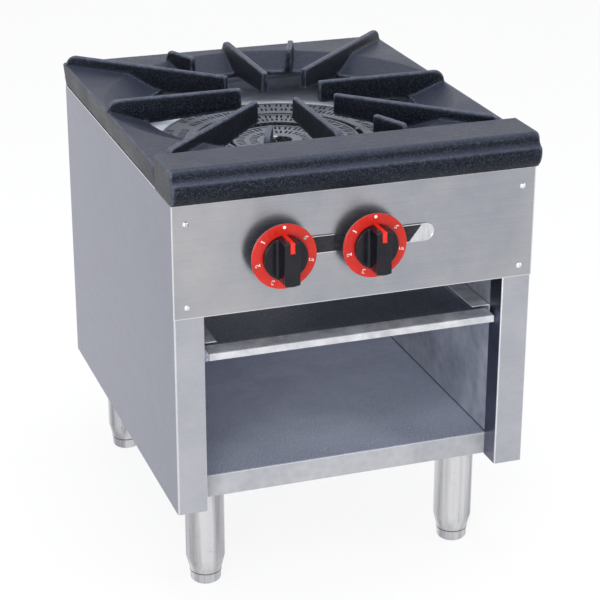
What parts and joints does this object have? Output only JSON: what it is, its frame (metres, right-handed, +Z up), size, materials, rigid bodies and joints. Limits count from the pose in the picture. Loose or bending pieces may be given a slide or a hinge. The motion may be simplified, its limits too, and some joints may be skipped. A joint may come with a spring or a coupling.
{
  "type": "stock pot range",
  "caption": "Floor-standing stainless gas stock pot range with a lift-off cast iron grate, ring burners, red-dialled knobs, a pull-out drip tray, an open storage shelf and adjustable legs.",
  "frame": {"origin": "on the floor, under the middle of the outer box", "axes": "+X right as the user faces the control panel, +Y to the rear, +Z up"},
  "size_m": [0.4616, 0.6192, 0.585],
  "materials": {
    "stainless": "brushed stainless sheet",
    "galvanised": "satin galvanised sheet",
    "black_iron": "dark coated casting with worn edges",
    "burner_iron": "bare grey casting",
    "pipe": "black pipe",
    "brass": "turned brass",
    "tube": "drawn tube",
    "plated_steel": "bright zinc plating",
    "badge": "black plate with a bare metal tip",
    "red_plastic": "glossy red moulding",
    "black_plastic": "glossy black moulding"
  },
  "bodies": {
    "cabinet": {"left_side_panel": "stainless", "right_side_panel": "stainless", "left_liner": "stainless", "right_liner": "stainless", "back_panel": "galvanised", "back_panel_screws": "plated_steel", "control_panel": "stainless", "panel_screws": "plated_steel", "badge_plate": "badge", "bottom_shelf": "stainless", "left_tray_runner": "galvanised", "right_tray_runner": "galvanised", "runner_screws": "plated_steel", "front_rail": "black_iron", "rail_bolts": "plated_steel", "outer_burner": "burner_iron", "inner_burner": "burner_iron", "front_burner_support": "galvanised", "rear_burner_support": "galvanised", "spill_pan": "galvanised", "left_mixing_tube": "burner_iron", "right_mixing_tube": "burner_iron", "left_air_shutter": "plated_steel", "right_air_shutter": "plated_steel", "left_orifice": "brass", "right_orifice": "brass", "gas_manifold": "pipe", "manifold_brackets": "galvanised", "inlet_elbow": "pipe", "inlet_pipe": "pipe", "left_valve_body": "brass", "right_valve_body": "brass", "inner_pilot_valve": "brass", "outer_pilot_valve": "brass", "inner_pilot_tube": "tube", "outer_pilot_tube": "tube", "inner_pilot_burner": "plated_steel", "outer_pilot_burner": "plated_steel", "leg_plates": "galvanised", "leg_nuts": "plated_steel", "front_left_leg": "stainless", "front_right_leg": "stainless", "rear_left_leg": "stainless", "rear_right_leg": "stainless"},
    "left_knob": {"left_dial": "red_plastic", "left_grip": "black_plastic", "left_pointer": "red_plastic", "left_stem": "plated_steel"},
    "right_knob": {"right_dial": "red_plastic", "right_grip": "black_plastic", "right_pointer": "red_plastic", "right_stem": "plated_steel"},
    "grate": {"top_grate": "black_iron"},
    "tray": {"drip_tray": "galvanised"},
    "front_left_foot": {"front_left_foot": "stainless"},
    "front_right_foot": {"front_right_foot": "stainless"},
    "rear_left_foot": {"rear_left_foot": "stainless"},
    "rear_right_foot": {"rear_right_foot": "stainless"}
  },
  "joints": [
    {"name": "left_knob_turn", "type": "hinge", "parent": "cabinet", "child": "left_knob", "pos_m": [-0.099, -0.2796, 0.47], "axis": [0, -1, 0], "range_deg": [0, 308.6]},
    {"name": "right_knob_turn", "type": "hinge", "parent": "cabinet", "child": "right_knob", "pos_m": [0.014, -0.2796, 0.47], "axis": [0, -1, 0], "range_deg": [0, 308.6]},
    {"name": "grate_lift", "type": "slide", "parent": "cabinet", "child": "grate", "axis": [0, 0, 1], "range_m": [0, 0.15]},
    {"name": "tray_pull", "type": "slide", "parent": "cabinet", "child": "tray", "axis": [0, -1, 0], "range_m": [0, 0.4]},
    {"name": "front_left_foot_adjust", "type": "slide", "parent": "cabinet", "child": "front_left_foot", "axis": [0, 0, -1], "range_m": [0, 0.025]},
    {"name": "front_right_foot_adjust", "type": "slide", "parent": "cabinet", "child": "front_right_foot", "axis": [0, 0, -1], "range_m": [0, 0.025]},
    {"name": "rear_left_foot_adjust", "type": "slide", "parent": "cabinet", "child": "rear_left_foot", "axis": [0, 0, -1], "range_m": [0, 0.025]},
    {"name": "rear_right_foot_adjust", "type": "slide", "parent": "cabinet", "child": "rear_right_foot", "axis": [0, 0, -1], "range_m": [0, 0.025]}
  ]
}
